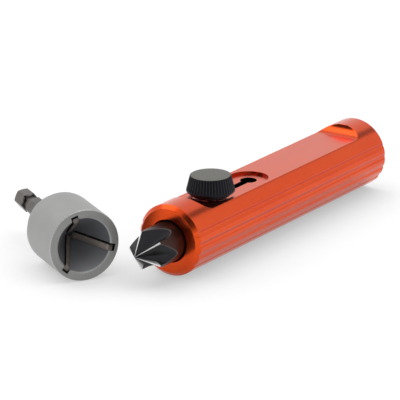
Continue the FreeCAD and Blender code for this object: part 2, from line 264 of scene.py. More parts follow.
# ---------------------------------------------------------------- materials
class Nodes:
    """Short calls that add and join shader nodes."""

    def __init__(self, name):
        self.material = bpy.data.materials.new(name)
        self.material.use_nodes = True
        self.tree = self.material.node_tree
        self.shader = self.tree.nodes["Principled BSDF"]

    def add(self, kind, **settings):
        node = self.tree.nodes.new(kind)
        for key, value in settings.items():
            setattr(node, key, value)
        return node

    def put(self, socket, value):
        if isinstance(value, bpy.types.NodeSocket):
            self.tree.links.new(value, socket)
        elif isinstance(value, (tuple, list)) and socket.type == "RGBA" and len(value) == 3:
            socket.default_value = (*value, 1)
        else:
            socket.default_value = value

    def coords(self, scale=(1, 1, 1), rotation=(0, 0, 0), location=(0, 0, 0)):
        node = self.add("ShaderNodeMapping")
        self.put(node.inputs["Vector"], self.add("ShaderNodeTexCoord").outputs["Object"])
        node.inputs["Location"].default_value = location
        node.inputs["Rotation"].default_value = rotation
        node.inputs["Scale"].default_value = scale
        return node.outputs["Vector"]

    def noise(self, vector, scale, detail=3, roughness=0.5):
        node = self.add("ShaderNodeTexNoise")
        self.put(node.inputs["Vector"], vector)
        node.inputs["Scale"].default_value = scale
        node.inputs["Detail"].default_value = detail
        node.inputs["Roughness"].default_value = roughness
        return node.outputs["Fac"]

    def span(self, value, low, high, to_low=0.0, to_high=1.0):
        node = self.add("ShaderNodeMapRange")
        self.put(node.inputs["Value"], value)
        for key, number in (("From Min", low), ("From Max", high), ("To Min", to_low), ("To Max", to_high)):
            node.inputs[key].default_value = number
        return node.outputs["Result"]

    def math(self, operation, a, b=0.0, clamp=False):
        node = self.add("ShaderNodeMath", operation=operation, use_clamp=clamp)
        self.put(node.inputs[0], a)
        self.put(node.inputs[1], b)
        return node.outputs["Value"]

    def mix(self, factor, a, b):
        node = self.add("ShaderNodeMix", data_type="RGBA")
        self.put(node.inputs["Factor"], factor)
        self.put(node.inputs[6], a)
        self.put(node.inputs[7], b)
        return node.outputs[2]

    def attribute(self, name):
        return self.add("ShaderNodeAttribute", attribute_name=name).outputs["Fac"]

    def radius_and_along(self, matrix_vector):
        """The distance from the X axis and the place along it, of a mapped vector."""
        split = self.add("ShaderNodeSeparateXYZ")
        self.put(split.inputs[0], matrix_vector)
        y2 = self.math("MULTIPLY", split.outputs[1], split.outputs[1])
        z2 = self.math("MULTIPLY", split.outputs[2], split.outputs[2])
        return self.math("SQRT", self.math("ADD", y2, z2)), split.outputs[0]

    def bump(self, height, strength, distance, normal=None):
        node = self.add("ShaderNodeBump")
        node.inputs["Strength"].default_value = strength
        node.inputs["Distance"].default_value = distance
        self.put(node.inputs["Height"], height)
        if normal is not None:
            self.put(node.inputs["Normal"], normal)
        return node.outputs["Normal"]

    def surface(self, **values):
        for key, value in values.items():
            self.put(self.shader.inputs[key.replace("_", " ")], value)
        return self.material


def worked_metal(name, dark, light, rough=(0.3, 0.45), grain=(1, 1, 1), scale=900, bump=0.08,
                 metallic=1.0, speck=None, **extra):
    """Metal or plastic with directional grain, blotches in colour and uneven roughness."""
    n = Nodes(name)
    streak = n.noise(n.coords(scale=grain), scale, 4, 0.6)
    blotch = n.noise(n.coords(), 140, 3)
    tone = n.math("ADD", n.math("MULTIPLY", n.span(streak, 0.35, 0.65), 0.55),
                  n.math("MULTIPLY", n.span(blotch, 0.3, 0.7), 0.45))
    colour = n.mix(tone, dark, light)
    if speck:
        fine = n.span(n.noise(n.coords(), 2600, 2, 0.7), 0.62, 0.72)
        colour = n.mix(n.math("MULTIPLY", fine, 0.5), colour, speck)
    normal = n.bump(streak, bump, 0.00005)
    return n.surface(Base_Color=colour, Metallic=metallic, Roughness=n.span(tone, 0, 1, *rough),
                     Normal=normal, **extra)


# ---------------------------------------------------------------- handle
def anodised_orange():
    n = Nodes("orange_anodised")
    drawn = n.noise(n.coords(scale=(0.03, 1, 1)), 5200, 4, 0.65)
    blotch = n.noise(n.coords(scale=(0.4, 1, 1)), 90, 3)
    pores = n.noise(n.coords(), 9000, 2, 0.6)
    tone = n.math("ADD", n.math("MULTIPLY", n.span(drawn, 0.3, 0.7), 0.4),
                  n.math("MULTIPLY", n.span(blotch, 0.3, 0.7), 0.6))
    colour = n.mix(tone, (0.66, 0.052, 0.002), (0.74, 0.076, 0.004))
    colour = n.mix(n.span(pores, 0.60, 0.75, 0, 0.12), colour, (0.52, 0.030, 0.002))
    inner = n.attribute("inner")
    # Painted shade: the upper side of each flute is darkened towards a deep red.
    colour = n.mix(n.math("MULTIPLY", n.attribute("flute"), 0.6), colour, (0.42, 0.008, 0.0))
    # Painted shade: near black in the bore and on the keyhole's walls, partly on the recess's wall; the coat
    # is taken off there too.
    colour = n.mix(inner, colour, (0.018, 0.003, 0.002))
    normal = n.bump(drawn, 0.035, 0.00004)
    normal = n.bump(pores, 0.03, 0.00002, normal)
    return n.surface(Base_Color=colour, Metallic=1.0, Roughness=n.span(tone, 0, 1, 0.17, 0.26), Normal=normal,
                     Coat_Weight=n.span(inner, 0, 1, 0.30, 0.0), Coat_Roughness=0.30, Coat_IOR=1.5)


def handle_section(angles):
    """The handle's outside radius at each angle, with its flutes."""
    half = FLUTE_WIDTH / 2
    chord = FLUTE_DEPTH - (HANDLE_R - math.sqrt(HANDLE_R ** 2 - half ** 2))
    radius = (half ** 2 + chord ** 2) / (2 * chord)
    centre = HANDLE_R - FLUTE_DEPTH + radius
    section = np.full(len(angles), HANDLE_R)
    for a in FLUTE_ANGLES:
        for side in (1, -1):
            phi = (angles - math.radians(side * a) + math.pi) % TAU - math.pi
            inside = radius ** 2 - (centre * np.sin(phi)) ** 2
            reach = centre * np.cos(phi) - np.sqrt(np.maximum(inside, 0))
            reach = np.where((inside > 0) & (np.cos(phi) > 0), reach, HANDLE_R + 5)
            section = soft_min(section, reach, 0.07)
    return section


def pocket_height(x):
    """The height of the top flat and its run-outs, x from the front face."""
    beyond = max(FLAT_FRONT - x, x - FLAT_REAR, 0)
    if beyond >= RUNOUT_R:
        return None
    return FLAT_Z + RUNOUT_R - math.sqrt(RUNOUT_R ** 2 - beyond ** 2)


def spaced(bands):
    """Numbers through bands of (start, end, spacing)."""
    values = []
    for start, end, gap in bands:
        values += list(np.linspace(start, end, max(2, int(round((end - start) / gap)) + 1))[:-1])
    return values


def handle_mesh():
    half = spaced([(0, 48, 0.5), (48, 64, 2), (64, 132, 0.55), (132, 180, 3)])
    degrees = np.array(half + [180] + [360 - a for a in half[:0:-1]])
    angles = np.radians(degrees)
    section = handle_section(angles)
    cosine = np.cos(angles)
    x_list = spaced([
        (1.9, FLAT_FRONT - RUNOUT_R, 2.0),
        (FLAT_FRONT - RUNOUT_R, FLAT_FRONT + 0.3, 0.13),
        (FLAT_FRONT + 0.3, FLAT_REAR - 0.3, 3.0),
        (FLAT_REAR - 0.3, FLAT_REAR + RUNOUT_R, 0.13),
        (FLAT_REAR + RUNOUT_R, HANDLE_LENGTH - 0.6, 2.0),
    ])
    front = rounded([(0, BORE_R + EDGE_BREAK), (0, HANDLE_R - CHAMFER), (CHAMFER, HANDLE_R), (1.9, HANDLE_R)],
                    [0, 0.12, 0.25, 0])[:-1]
    end = HANDLE_LENGTH
    rear = rounded([(end - 0.6, HANDLE_R), (end - EDGE_BREAK, HANDLE_R), (end, HANDLE_R - EDGE_BREAK),
                    (end, PLUG_R + 0.12), (end - 0.12, PLUG_R)], [0, 0.15, 0.1, 0, 0])
    stations = []
    for x, r in front + [(x, HANDLE_R) for x in x_list] + rear:
        radii = soft_min(np.full(len(angles), r), section, 0.04) if x > 0.3 else np.full(len(angles), r)
        height = pocket_height(x)
        if height is not None:
            plane = np.where(cosine > 0.05, height / np.maximum(cosine, 0.05), 99.0)
            radii = soft_min(radii, plane, 0.13)
        stations.append((FRONT + x, radii))
    seat = end - PLUG_LENGTH
    for x, r in ((seat, PLUG_R), (seat, BORE_R), (end / 2, BORE_R), (EDGE_BREAK, BORE_R)):
        stations.append((FRONT + x, r))
    mesh = carve(ring_mesh("handle", stations, angles, closed=True), [recess_cutter(), keyhole_cutter()])

    def inner(middle, normal):
        """Painted shade: the bore and the keyhole's walls in full, and the recess's wall at 0.42."""
        bore = np.hypot(middle[:, 1], middle[:, 2]) < BORE_R + 0.05
        ends = [np.hypot(middle[:, 0] - x, middle[:, 1]) for x in (KNOB_X, KNOB_X + TRAVEL)]
        between = (middle[:, 0] > KNOB_X) & (middle[:, 0] < KNOB_X + TRAVEL)
        steep = (np.abs(normal[:, 2]) < 0.9) & (middle[:, 2] > 6.5)
        nearest, aside = np.minimum(*ends), np.abs(middle[:, 1])
        hole = (nearest < KEYHOLE_R + 0.09) | (between & (aside < SLOT_WIDTH / 2 + 0.09))
        around = (nearest < RECESS_R + 0.05) | (between & (aside < RECESS_R + 0.05))
        wall = steep & around & (middle[:, 2] > FLAT_Z - RECESS_DEPTH) & (middle[:, 2] < FLAT_Z)
        return np.maximum(bore | (steep & hole), 0.42 * wall)

    def flute(middle, _normal):
        """Painted shade on the upper side of each flute, behind the front chamfer."""
        radius = np.hypot(middle[:, 1], middle[:, 2])
        angle = np.degrees(np.abs(np.arctan2(middle[:, 1], middle[:, 2])))
        depth = np.clip((HANDLE_R - radius) / FLUTE_DEPTH, 0, 1)
        upper_side = np.max([(angle > a - 4.6) & (angle < a - 1.4) for a in FLUTE_ANGLES], axis=0)
        return upper_side * step(0.05, 0.3, depth) * (middle[:, 0] > FRONT + CHAMFER + 0.4)

    face_values(mesh, "inner", inner)
    face_values(mesh, "flute", flute)
    return mesh


def obround(radius, half_width, z):
    """The outline of a round opening at each end of the travel, joined by a slot."""
    start = math.asin(min(half_width / radius, 1))
    left = np.linspace(start, TAU - start, 65)
    right = np.linspace(start - math.pi, math.pi - start, 65)
    points = [(KNOB_X + radius * math.cos(a), radius * math.sin(a), z) for a in left]
    return points + [(KNOB_X + TRAVEL + radius * math.cos(a), radius * math.sin(a), z) for a in right]


def recess_cutter():
    floor, flat = FLAT_Z - RECESS_DEPTH, FLAT_Z
    levels = [(floor, 0), (flat - 0.1, 0), (flat - 0.03, 0.02), (flat + 0.03, 0.13), (14, 0.13)]
    return prism([obround(RECESS_R + grow, RECESS_R + grow, z) for z, grow in levels], "recess")


def keyhole_cutter():
    floor = FLAT_Z - RECESS_DEPTH
    levels = [(0, 0), (floor - 0.09, 0), (floor + 0.02, 0.1), (14, 0.1)]
    return prism([obround(KEYHOLE_R + grow, SLOT_WIDTH / 2 + grow, z) for z, grow in levels], "keyhole")


orange = anodised_orange()
finish_piece("handle", handle_mesh(), "handle", orange, ["handle_body"], sharp=28)


# ---------------------------------------------------------------- knob
def knob_plastic():
    n = Nodes("knob_black")
    grain = n.noise(n.coords(), 4200, 3, 0.6)
    blotch = n.noise(n.coords(), 420, 3)
    normal_split = n.add("ShaderNodeSeparateXYZ")
    n.put(normal_split.inputs[0], n.add("ShaderNodeTexCoord").outputs["Object"])
    top = n.span(normal_split.outputs[2], (KNOB_TOP_Z - 0.12) * MM, (KNOB_TOP_Z - 0.03) * MM)
    colour = n.mix(blotch, (0.0025, 0.0022, 0.004), (0.005, 0.0045, 0.007))
    # Painted highlight: the crests of the knurl's teeth are lightened to a bluish grey.
    colour = n.mix(n.math("MULTIPLY", n.attribute("painted_crest_highlight"), n.span(grain, 0.3, 0.7, 0.4, 1.0)), colour,
                   (0.034, 0.032, 0.050))
    # Painted light: the top disc is a lighter grey than the skirt, as the light from above falls on it; it is
    # also rougher.
    painted_top_light = n.mix(grain, (0.125, 0.123, 0.112), (0.175, 0.172, 0.158))
    colour = n.mix(top, colour, painted_top_light)
    rough = n.math("ADD", n.span(grain, 0.3, 0.7, 0.24, 0.36), n.math("MULTIPLY", top, 0.2))
    return n.surface(Base_Color=colour, Roughness=rough, Normal=n.bump(grain, 0.25, 0.00005),
                     Specular_IOR_Level=0.16)


def knob_mesh():
    angles = np.linspace(0, TAU, TEETH * 14 + 1)[:-1]
    rim, top = KNOB_RIM_Z, KNOB_TOP_Z
    knurl = rim + 0.8
    wave = 0.5 + 0.5 * np.cos(TEETH * angles)
    valley = TOOTH_DEPTH * (1 - wave ** 0.8)
    outside = rounded([(rim + 0.5, 6.0), (rim, 6.0), (rim, KNOB_RIM_R), (rim + 0.35, KNOB_SKIRT_R),
                       (knurl, KNOB_SKIRT_R), (top, KNOB_TOP_R), (top, 4.0)],
                      [0, 0.1, 0.12, 0.15, 0.02, 0.32, 0])
    stations = [(rim + 4.4, 3.0), (rim + 0.5, 3.0)]
    crest_highlights = [0 * wave, 0 * wave]
    extra = []
    for (z0, r0), (z1, r1) in zip(outside, outside[1:]):
        extra.append((z0, r0))
        if z1 - z0 > 1:
            shares = (0.02, 0.06, 0.12, 0.3, 0.5, 0.7, 0.88)
            extra += [(z0 + (z1 - z0) * t, r0 + (r1 - r0) * t) for t in shares]
    extra.append(outside[-1])
    for z, r in extra:
        taper = KNOB_SKIRT_R + (KNOB_TOP_R - KNOB_SKIRT_R) * np.clip((z - knurl) / (top - knurl), 0, 1)
        fade = step(knurl - 0.02, knurl + 0.28, z)
        tooth = taper - valley * fade
        radii = soft_min(np.full(len(angles), r), tooth, 0.05) if z > knurl and r > 6.1 else r
        stations.append((z, radii))
        # Painted highlight on the tooth crests, faded in above the knurl's start and out near the top.
        crest_highlights.append(wave ** 6 * fade * step(top, top - 0.5, z))
    stations.append((top, 2.0))
    crest_highlights.append(0 * wave)
    mesh = ring_mesh("knob", stations, angles, axis="Z", centre=KNOB_X)
    point_values(mesh, "painted_crest_highlight", np.concatenate(crest_highlights + [[0.0, 0.0]]))
    return mesh


finish_piece("knob_grip", knob_mesh(), "knob", knob_plastic(), ["knob"], sharp=40)


# ---------------------------------------------------------------- countersink
def natural_spline(points, samples):
    """A smooth curve through points in a plane, spaced by their chords."""
    p = np.array(points, float)
    t = np.concatenate([[0], np.cumsum(np.linalg.norm(np.diff(p, axis=0), axis=1))])
    h = np.diff(t)
    size = len(p)
    system = np.eye(size)
    right = np.zeros((size, 2))
    for i in range(1, size - 1):
        system[i, i - 1:i + 2] = h[i - 1], 2 * (h[i - 1] + h[i]), h[i]
        right[i] = 6 * ((p[i + 1] - p[i]) / h[i] - (p[i] - p[i - 1]) / h[i - 1])
    second = np.linalg.solve(system, right)
    result = []
    for u in np.linspace(0, t[-1], samples):
        i = min(np.searchsorted(t, u, side="right") - 1, size - 2)
        a, b = (t[i + 1] - u) / h[i], (u - t[i]) / h[i]
        result.append(a * p[i] + b * p[i + 1]
                      + ((a ** 3 - a) * second[i] + (b ** 3 - b) * second[i + 1]) * h[i] ** 2 / 6)
    return np.array(result)


def flute_reach(angles):
    """The flute's radius per mm behind the tip, at each angle; large on the lands."""
    depth = 22.0
    floor = BIT_R * depth / BIT_REACH
    pitch = 360.0 / BIT_FLUTES
    start, end = BIT_LAND / 2, pitch - BIT_LAND / 2
    marks = [(start, depth), (0.30 * pitch, 1.42 * floor), (0.58 * pitch, 1.06 * floor),
             (0.76 * pitch, floor), (0.88 * pitch, 1.13 * floor), (end, depth)]
    points = [(r * math.cos(math.radians(a)), r * math.sin(math.radians(a))) for a, r in marks]
    curve = natural_spline(points, 400)
    turn = np.degrees(np.arctan2(curve[:, 1], curve[:, 0]))
    reach = np.hypot(curve[:, 0], curve[:, 1]) / depth
    order = np.argsort(turn)
    phase = (np.degrees(angles) - BIT_FIRST) % pitch
    return np.where((phase > start) & (phase < end), np.interp(phase, turn[order], reach[order]), 9.0)


def bit_mesh():
    pitch = 360.0 / BIT_FLUTES
    side = BIT_LAND / 2
    one = spaced([(-side - 1.2, -side + 1.2, 0.24), (-side + 1.2, side - 1.2, 0.65),
                  (side - 1.2, side + 1.2, 0.24), (side + 1.2, pitch - side - 1.2, 0.6)])
    angles = np.radians(np.array([BIT_FIRST + pitch * k + a for k in range(BIT_FLUTES) for a in one]))
    reach = flute_reach(angles)
    corner = HEX / math.sqrt(3)
    across = HEX / 2
    hexagon = across / np.cos((angles + math.pi / 6) % (math.pi / 3) - math.pi / 6)
    hexagon = soft_min(hexagon, np.full(len(angles), corner - 0.03), 0.05)
    depths = spaced([(0.12, 1.2, 0.12), (1.2, 6.6, 0.18), (6.6, 7.5, 0.06), (7.5, 16.2, 0.14),
                     (16.2, BIT_HEAD - 1.2, 2.0)])
    stations, marks = [], []
    for d in depths:
        blend = 0.05 * min(1, d)
        whole = soft_min(np.full(len(angles), d), np.full(len(angles), BIT_R), 0.06)
        flute = d * reach
        stations.append((TIP + d, soft_min(whole, flute, blend)))
        land = step(-0.08, 0.0, flute - whole) * (1 - step(BIT_CONE_END - 0.05, BIT_CONE_END + 0.05, d))
        # Painted highlight: a thin light line along each flute's edge, half strength on the cone and faint on
        # the barrel; the lands on the cone are bright from grinding.
        edge = (1 - step(0.03, 0.14, np.abs(flute - whole))) * step(1.0, 3.0, d)
        marks.append(np.maximum(land, edge * (0.5 if d < BIT_CONE_END else 0.10)))
    for d, r in rounded([(BIT_HEAD - 1.2, BIT_R), (BIT_HEAD - 1.0, BIT_R), (BIT_HEAD, BIT_R - 1.0),
                         (BIT_HEAD, corner + 0.6)], [0, 0.2, 0.2, 0]):
        stations.append((TIP + d, r))
        marks.append(np.zeros(len(angles)))
    stations.append((TIP + BIT_HEAD, hexagon))
    for x, trim in ((SHANK_END - 0.75, 0), (SHANK_END - 0.5, -0.3), (SHANK_END, -0.8)):
        stations.append((x, soft_min(hexagon, np.full(len(angles), corner + trim), 0.05)))
    marks += [np.zeros(len(angles))] * 4
    mesh = ring_mesh("bit", stations, angles)
    point_values(mesh, "ground_and_painted_light", np.concatenate(marks + [[1.0, 0.0]]))
    return mesh


def black_oxide():
    n = Nodes("bit_black_oxide")
    ground_and_painted_light = n.attribute("ground_and_painted_light")
    radius, _ = n.radius_and_along(n.coords())
    turned = n.noise(n.coords(scale=(1, 0.05, 0.05)), 9000, 3, 0.6)
    grain = n.noise(n.coords(), 1800, 4, 0.6)
    blotch = n.noise(n.coords(), 260, 3)
    flute = n.mix(blotch, (0.016, 0.016, 0.018), (0.030, 0.030, 0.033))
    # Painted reflection: the barrel is a lighter, redder brown than the flutes, standing in for the orange
    # handle reflected in it.
    barrel = n.mix(blotch, (0.034, 0.016, 0.013), (0.058, 0.027, 0.020))
    on_barrel = n.span(radius, (BIT_R - 0.10) * MM, (BIT_R - 0.03) * MM)
    colour = n.mix(on_barrel, flute, barrel)
    bright = n.mix(grain, (0.78, 0.78, 0.78), (0.95, 0.95, 0.94))
    # The lands are bright from grinding; the light lines along the flute edges are a painted highlight.
    colour = n.mix(n.math("MULTIPLY", ground_and_painted_light, 1.0, clamp=True), colour, bright)
    rough = n.span(grain, 0.3, 0.7, 0.36, 0.50)
    rough = n.math("SUBTRACT", rough, n.math("MULTIPLY", on_barrel, 0.08))
    normal = n.bump(turned, 0.08, 0.00004)
    normal = n.bump(grain, 0.10, 0.00004, normal)
    return n.surface(Base_Color=colour, Metallic=0.85, Roughness=rough, Normal=normal)


finish_piece("countersink", bit_mesh(), "bit", black_oxide(), ["countersink_bit"],
             sharp=30)


# ---------------------------------------------------------------- cup
mount = MOUNTS["cup_hex_shank"]
cup_axis = Vector(mount["axis"]).normalized()
cup_mouth = Vector(mount["pos_m"]) - cup_axis * CUP_SHANK_END * MM
CUP_PLACE = Matrix.Translation(cup_mouth) @ Matrix.Rotation(math.atan2(cup_axis.y, cup_axis.x), 4, "Z")
CONE_SLOPE = math.tan(math.radians(CUP_HALF_ANGLE))
CONE_START_R = CUP_MOUTH_R - CUP_LIP
CONE_START = 0.5
CONE_APEX = CONE_START + CONE_START_R / CONE_SLOPE


def cup_grey():
    n = Nodes("cup_grey")
    grain = n.noise(n.coords(), 3600, 4, 0.65)
    blotch = n.noise(n.coords(), 160, 3)
    radius, along = n.radius_and_along(n.coords())
    inside = n.math("MULTIPLY", n.span(radius, 0.0098, 0.0097), n.span(along, 0.0002, 0.0006))
    rings = n.noise(n.coords(scale=(1, 0.02, 0.02)), 7000, 2, 0.5)
    outer = n.mix(n.math("ADD", n.math("MULTIPLY", grain, 0.4), n.math("MULTIPLY", blotch, 0.6)),
                  (0.33, 0.33, 0.322), (0.41, 0.41, 0.40))
    # Painted shade: the cup's inside is a darker bluish grey than the outside.
    inner = n.mix(blotch, (0.105, 0.110, 0.122), (0.160, 0.166, 0.178))
    split = n.add("ShaderNodeSeparateXYZ")
    n.put(split.inputs[0], n.coords())
    # Painted light: the inside is lighter towards the bottom.
    low = n.span(split.outputs[2], -0.002, -0.0095)
    inner = n.mix(low, inner, (0.25, 0.253, 0.262))
    colour = n.mix(inside, outer, inner)
    # Painted highlight: a thin light ring on the inner lip at the mouth.
    lip = n.math("MULTIPLY", n.span(along, 0.00005, 0.00012), n.span(along, 0.00055, 0.00045))
    lip = n.math("MULTIPLY", lip, n.span(radius, 0.0112, 0.0110))
    colour = n.mix(n.math("MULTIPLY", lip, 0.8), colour, (0.42, 0.42, 0.43))
    # Painted highlight: a light band on the rounded outer edge of the mouth, which is also made smoother.
    rim = n.math("MULTIPLY", n.span(radius, (CUP_R - 0.30) * MM, (CUP_R - 0.20) * MM),
                 n.span(along, 0.00035, 0.00025))
    colour = n.mix(n.math("MULTIPLY", rim, 0.7), colour, (0.55, 0.55, 0.55))
    # Painted shade: near black in the blade slots and the crevice at the step, and faintly darker on the
    # mouth's face.
    colour = n.mix(n.attribute("shade"), colour, (0.008, 0.008, 0.009))
    rough = n.math("SUBTRACT", n.span(grain, 0.3, 0.7, 0.46, 0.58), n.math("MULTIPLY", inside, 0.10))
    rough = n.math("SUBTRACT", rough, n.math("MULTIPLY", rim, 0.25))
    normal = n.bump(grain, 0.16, 0.00005)
    normal = n.bump(rings, 0.10, 0.00004, normal)
    return n.surface(Base_Color=colour, Metallic=0.55, Roughness=rough, Normal=normal)


def blade_outline(offset_out, offset_in, start_x, end_x):
    rise = 1 / math.cos(math.radians(CUP_HALF_ANGLE))
    out_apex = CONE_APEX + offset_out * rise / CONE_SLOPE
    in_apex = CONE_APEX - offset_in * rise / CONE_SLOPE
    return [(start_x, (out_apex - start_x) * CONE_SLOPE), (end_x, (out_apex - end_x) * CONE_SLOPE),
            (end_x, max((in_apex - end_x) * CONE_SLOPE, 0)), (start_x, (in_apex - start_x) * CONE_SLOPE)]


def turned_bar(outline, low, high, degrees):
    """Rings of a bar with an (x, radius) outline, from y = low to high, turned about X from +Z towards -Y."""
    a = math.radians(degrees)
    return [[(x, y * math.cos(a) - r * math.sin(a), y * math.sin(a) + r * math.cos(a)) for x, r in outline]
            for y in (low, high)]


def blade_turn(k):
    return 90.0 - (BLADE_FIRST + 120.0 * k)


def cup_mesh():
    angles = np.linspace(0, TAU, 361)[:-1]
    shoulder = [(CUP_BODY - 2.6 * (1 - math.sin(a)), CUP_R - 1.4 * (1 - math.cos(a)))
                for a in np.linspace(0, math.pi / 2, 13)]
    edge = rounded([(0, CUP_MOUTH_R), (0, CUP_R - 0.3), (0.3, CUP_R), (1.0, CUP_R)], [0, 0.2, 0.2, 0])
    tail = rounded([(CUP_BODY, CUP_R - 1.4), (CUP_BODY, CUP_R - CUP_STEP),
                    (CUP_LENGTH - 0.3, CUP_R - CUP_STEP), (CUP_LENGTH, CUP_R - 2.0),
                    (CUP_LENGTH, CUP_SOCKET_R), (CUP_LENGTH - CUP_SOCKET_DEPTH, CUP_SOCKET_R),
                    (CUP_LENGTH - CUP_SOCKET_DEPTH, 1.0)], [0, 0.05, 0.15, 0.15, 0, 0, 0])
    hollow = [(CONE_APEX - 0.02, 0.01)]
    hollow += [(CONE_APEX + (CONE_START - CONE_APEX) * t, CONE_START_R * t) for t in (0.2, 0.5, 0.8)]
    lip = rounded([(CONE_APEX + (CONE_START - CONE_APEX) * 0.9, CONE_START_R * 0.9),
                   (CONE_START, CONE_START_R), (0, CUP_MOUTH_R), (0, CUP_MOUTH_R + 0.4)],
                  [0, 0.25, 0.12, 0])[:-1]
    outline = hollow + lip + edge[1:] + [(8, CUP_R), (16, CUP_R)] + shoulder + tail[1:]
    mesh = ring_mesh("cup", outline, angles)
    bar = blade_outline(BLADE_SUNK, 1.1, -1.0, CONE_APEX - 1.9)
    relief = [(-1.0, SLOT_END_R - 3.0), (1.4, SLOT_END_R - 3.0), (1.4, SLOT_END_R), (-1.0, SLOT_END_R)]
    low, high = -BLADE_WIDTH / 2 - GAP_BELOW, BLADE_WIDTH / 2 + GAP_ABOVE
    cutters = []
    for k in range(3):
        cutters.append(prism(turned_bar(bar, low, high, blade_turn(k))))
        cutters.append(prism(turned_bar(relief, low, high, blade_turn(k))))
    mesh = carve(mesh, cutters)

    def shade(middle, normal):
        """Painted shade: the blade slots and the crevice at the step in full, and faintly the mouth's face.
        """
        radius = np.hypot(middle[:, 1], middle[:, 2])
        below = radius - (CONE_APEX - middle[:, 0]) * CONE_SLOPE > 0.04
        crevice = (np.abs(middle[:, 0] - CUP_BODY - 0.05) < 0.15) & (radius < CUP_R - 1.3) & (radius > 5)
        inside = (radius < SLOT_END_R + 0.1) & (middle[:, 0] > 0.03) & (middle[:, 0] < CONE_APEX)
        lip = (middle[:, 0] < CONE_START + 0.05) & (np.abs(normal[:, 0]) > 0.2)
        face = (middle[:, 0] < 0.05) & (radius > CUP_MOUTH_R) & (radius < CUP_R - 0.25)
        return np.maximum((below & inside & ~lip) | crevice, 0.30 * face)

    face_values(mesh, "shade", shade)
    return mesh


finish_piece("cup_shell", cup_mesh(), "cup", cup_grey(), ["cup_body"], CUP_PLACE, sharp=28)


def blade_steel():
    n = Nodes("blade_steel")
    grind = n.noise(n.coords(scale=(1, 0.15, 1)), 5200, 4, 0.65)
    blotch = n.noise(n.coords(), 480, 3)
    colour = n.mix(blotch, (0.20, 0.168, 0.150), (0.37, 0.322, 0.288))
    # Painted shade: where the attribute is 0 (the sides) the steel is painted near black, and partly so at
    # the end facing the mouth; the bright top keeps the steel colour.
    face = n.attribute("ground_and_painted_light")
    colour = n.mix(face, (0.012, 0.011, 0.012), colour)
    return n.surface(Base_Color=colour, Metallic=0.8, Roughness=n.span(grind, 0.3, 0.7, 0.34, 0.50),
                     Normal=n.bump(grind, 0.15, 0.00005))


def blade_mesh(k):
    """A square-ended strip with eased edges; its top is bright from grinding, and its sides and the end at
    the mouth are marked for painted shade.
    """
    outline = blade_outline(BLADE_SUNK, BLADE_PROUD, 0.12, CONE_APEX - 2.6)
    half = BLADE_WIDTH / 2
    mesh = prism(turned_bar(outline, -half, half, 0), "blade")
    bm = bmesh.new()
    bm.from_mesh(mesh)
    bmesh.ops.bevel(bm, geom=bm.edges[:], offset=0.06 * MM, segments=2, affect="EDGES", profile=0.5)
    long_edges = [e for e in bm.edges if e.calc_length() > 4 * MM]
    bmesh.ops.subdivide_edges(bm, edges=long_edges, cuts=12, use_grid_fill=True)
    bm.to_mesh(mesh)
    bm.free()
    # The inner face, parallel to the cone, gets 1 and keeps the bright grinding; the end facing the mouth
    # gets 0.45 and the other faces 0, which the finish paints dark as painted shade.
    inward = Vector((-math.sin(math.radians(CUP_HALF_ANGLE)), 0, -math.cos(math.radians(CUP_HALF_ANGLE))))
    face_values(mesh, "ground_and_painted_light", lambda middle, normal: np.maximum(
        (normal @ np.array(inward) > 0.85) * 1.0, (normal[:, 0] < -0.85) * 0.45))
    mesh.transform(Matrix.Rotation(math.radians(blade_turn(k)), 4, "X"))
    return mesh


blade_finish = blade_steel()
for k in range(3):
    finish_piece("blade_%d" % (k + 1), blade_mesh(k), "cup", blade_finish,
                 ["cup_blade_%d" % (k + 1)], CUP_PLACE, sharp=35)


def shank_mesh():
    angles = np.linspace(0, TAU, 361)[:-1]
    corner = HEX / math.sqrt(3)
    turn = math.radians(CUP_HEX_TURN)
    hexagon = HEX / 2 / np.cos((angles - turn + math.pi / 6) % (math.pi / 3) - math.pi / 6)
    hexagon = soft_min(hexagon, np.full(len(angles), corner - 0.02), 0.04)
    start, end = CUP_LENGTH, CUP_SHANK_END
    waist_x, half, waist_r = end - 9.3, 2.5, 2.3
    depth = corner - waist_r
    arc = (half ** 2 + depth ** 2) / (2 * depth)
    stations = [(start - CUP_SOCKET_DEPTH, CUP_SOCKET_R), (start, CUP_SOCKET_R)]
    dark = [0 * angles, 0 * angles]
    groove_start, groove_end = waist_x - half - 0.2, waist_x + half + 0.2
    bands = [(start + 0.02, start + 0.8, 0.1), (start + 0.8, groove_start, 2.0),
             (groove_start, groove_end, 0.1), (groove_end, end - 1.1, 1.0), (end - 1.1, end, 0.08)]
    for x in [start] + spaced(bands) + [end]:
        trim = min(corner - 0.3 + (x - start) * 0.6, corner - (x - (end - 0.9)) * 1.05, corner + 0.3)
        inside = arc ** 2 - (x - waist_x) ** 2
        groove = waist_r + arc - math.sqrt(inside) if inside > 0 else 99
        limit = min(trim, groove if abs(x - waist_x) < half + 0.4 else 99)
        stations.append((x, soft_min(hexagon, np.full(len(angles), limit), 0.05)))
        # Painted shade: the half of the groove facing the shank's end is marked to be painted dark.
        slope = np.clip((x - waist_x) / 1.2, -1, 1) * step(0.15, 0.5, hexagon - limit)
        dark.append(0.9 * np.maximum(slope, 0))
    mesh = ring_mesh("shank", stations, angles)
    point_values(mesh, "groove", np.concatenate(dark + [[0.0, 0.0]]))
    return mesh


def shank_steel():
    n = Nodes("shank_steel")
    streak = n.noise(n.coords(scale=(0.2, 1, 1)), 2600, 4, 0.6)
    blotch = n.noise(n.coords(), 300, 3)
    colour = n.mix(blotch, (0.080, 0.073, 0.068), (0.155, 0.142, 0.134))
    colour = n.mix(n.span(streak, 0.55, 0.75, 0, 0.5), colour, (0.26, 0.24, 0.225))
    # Painted shade on the groove's half that faces the shank's end.
    colour = n.mix(n.attribute("groove"), colour, (0.008, 0.007, 0.007))
    return n.surface(Base_Color=colour, Metallic=1.0, Roughness=n.span(streak, 0.3, 0.7, 0.20, 0.34),
                     Normal=n.bump(streak, 0.12, 0.00005))


finish_piece("cup_hex", shank_mesh(), "cup", shank_steel(), ["cup_shank"], CUP_PLACE, sharp=28)


